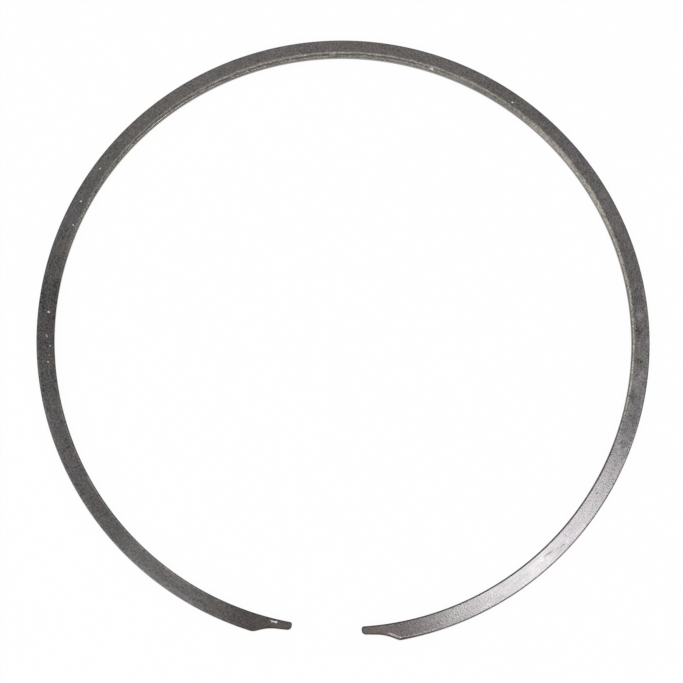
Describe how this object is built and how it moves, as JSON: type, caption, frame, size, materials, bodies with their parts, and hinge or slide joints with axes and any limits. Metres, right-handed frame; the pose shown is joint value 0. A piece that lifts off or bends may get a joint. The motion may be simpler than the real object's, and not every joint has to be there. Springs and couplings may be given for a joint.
{
  "type": "circlip retaining ring",
  "caption": "Internal retaining ring of flat, round-edged spring wire, open at a gap, with each end cut back on its outer side to a narrow tab.",
  "frame": {"origin": "centre of the ring on its axis, at the middle of the wire's thickness", "axes": "+Z along the ring's axis, out of a flat face; the gap is on -Y; +X across the gap"},
  "size_m": [0.16, 0.1577, 0.002],
  "materials": {
    "spring_steel": "dark oiled spring steel, mottled brown and grey, worn lighter along the inner edge"
  },
  "bodies": {
    "root": {"retaining_ring": "spring_steel"}
  },
  "joints": []
}
